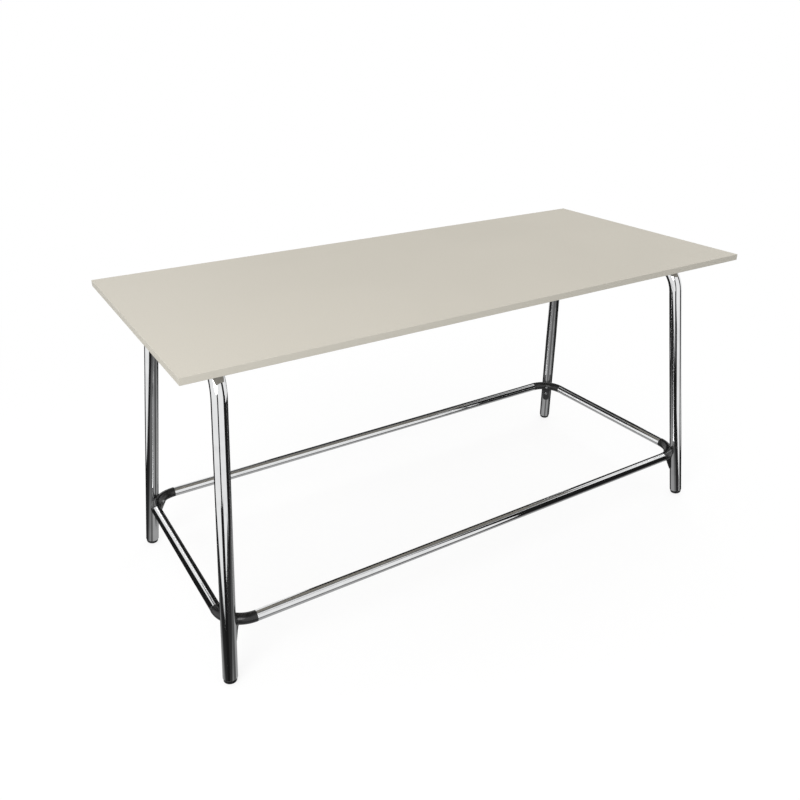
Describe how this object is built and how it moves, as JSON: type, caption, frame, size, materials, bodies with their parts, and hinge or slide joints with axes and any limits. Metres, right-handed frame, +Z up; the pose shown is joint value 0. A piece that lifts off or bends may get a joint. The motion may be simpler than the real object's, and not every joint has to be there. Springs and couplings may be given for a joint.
{
  "type": "standing meeting table",
  "caption": "Standing meeting table: rectangular laminate top on splayed chrome tube end frames tied by a low tube ring with black corner connectors, on screw-in levelling glides.",
  "frame": {"origin": "on the floor, under the middle of the top", "axes": "+X along the table's length, +Y from its front long side to its back, +Z up"},
  "size_m": [1.8, 0.8, 0.9],
  "materials": {
    "laminate": "satin warm grey laminate on chipboard",
    "edge_band": "satin plastic edge band in the colour of the top",
    "chrome": "bright chromed steel tube",
    "zinc_steel": "zinc-plated steel",
    "black_plastic": "satin black moulded plastic"
  },
  "bodies": {
    "table": {"corner_screw_back_left_lower": "zinc_steel", "corner_screw_back_left_upper": "zinc_steel", "corner_screw_back_right_lower": "zinc_steel", "corner_screw_back_right_upper": "zinc_steel", "corner_screw_front_left_lower": "zinc_steel", "corner_screw_front_left_upper": "zinc_steel", "corner_screw_front_right_lower": "zinc_steel", "corner_screw_front_right_upper": "zinc_steel", "edge_band_back": "edge_band", "edge_band_front": "edge_band", "edge_band_left": "edge_band", "edge_band_right": "edge_band", "end_frame_left": "chrome", "end_frame_right": "chrome", "leg_plug_back_left": "black_plastic", "leg_plug_back_right": "black_plastic", "leg_plug_front_left": "black_plastic", "leg_plug_front_right": "black_plastic", "mount_plate_back_left": "chrome", "mount_plate_back_right": "chrome", "mount_plate_front_left": "chrome", "mount_plate_front_right": "chrome", "ring_corner_back_left": "black_plastic", "ring_corner_back_right": "black_plastic", "ring_corner_front_left": "black_plastic", "ring_corner_front_right": "black_plastic", "ring_tube_back": "chrome", "ring_tube_front": "chrome", "ring_tube_left": "chrome", "ring_tube_right": "chrome", "rivet_nut_back_left_lower": "zinc_steel", "rivet_nut_back_left_upper": "zinc_steel", "rivet_nut_back_right_lower": "zinc_steel", "rivet_nut_back_right_upper": "zinc_steel", "rivet_nut_front_left_lower": "zinc_steel", "rivet_nut_front_left_upper": "zinc_steel", "rivet_nut_front_right_lower": "zinc_steel", "rivet_nut_front_right_upper": "zinc_steel", "tabletop_board": "laminate", "threaded_insert_back_left_inner": "zinc_steel", "threaded_insert_back_left_outer": "zinc_steel", "threaded_insert_back_right_inner": "zinc_steel", "threaded_insert_back_right_outer": "zinc_steel", "threaded_insert_front_left_inner": "zinc_steel", "threaded_insert_front_left_outer": "zinc_steel", "threaded_insert_front_right_inner": "zinc_steel", "threaded_insert_front_right_outer": "zinc_steel", "top_screw_back_left_inner": "zinc_steel", "top_screw_back_left_outer": "zinc_steel", "top_screw_back_right_inner": "zinc_steel", "top_screw_back_right_outer": "zinc_steel", "top_screw_front_left_inner": "zinc_steel", "top_screw_front_left_outer": "zinc_steel", "top_screw_front_right_inner": "zinc_steel", "top_screw_front_right_outer": "zinc_steel"},
    "glide_front_left": {"levelling_glide_front_left": "black_plastic"},
    "glide_front_right": {"levelling_glide_front_right": "black_plastic"},
    "glide_back_left": {"levelling_glide_back_left": "black_plastic"},
    "glide_back_right": {"levelling_glide_back_right": "black_plastic"}
  },
  "joints": [
    {"name": "level_front_left", "type": "slide", "parent": "table", "child": "glide_front_left", "axis": [-0.104, -0.104, -0.9891], "range_m": [0, 0.01]},
    {"name": "level_front_right", "type": "slide", "parent": "table", "child": "glide_front_right", "axis": [0.104, -0.104, -0.9891], "range_m": [0, 0.01]},
    {"name": "level_back_left", "type": "slide", "parent": "table", "child": "glide_back_left", "axis": [-0.104, 0.104, -0.9891], "range_m": [0, 0.01]},
    {"name": "level_back_right", "type": "slide", "parent": "table", "child": "glide_back_right", "axis": [0.104, 0.104, -0.9891], "range_m": [0, 0.01]}
  ]
}
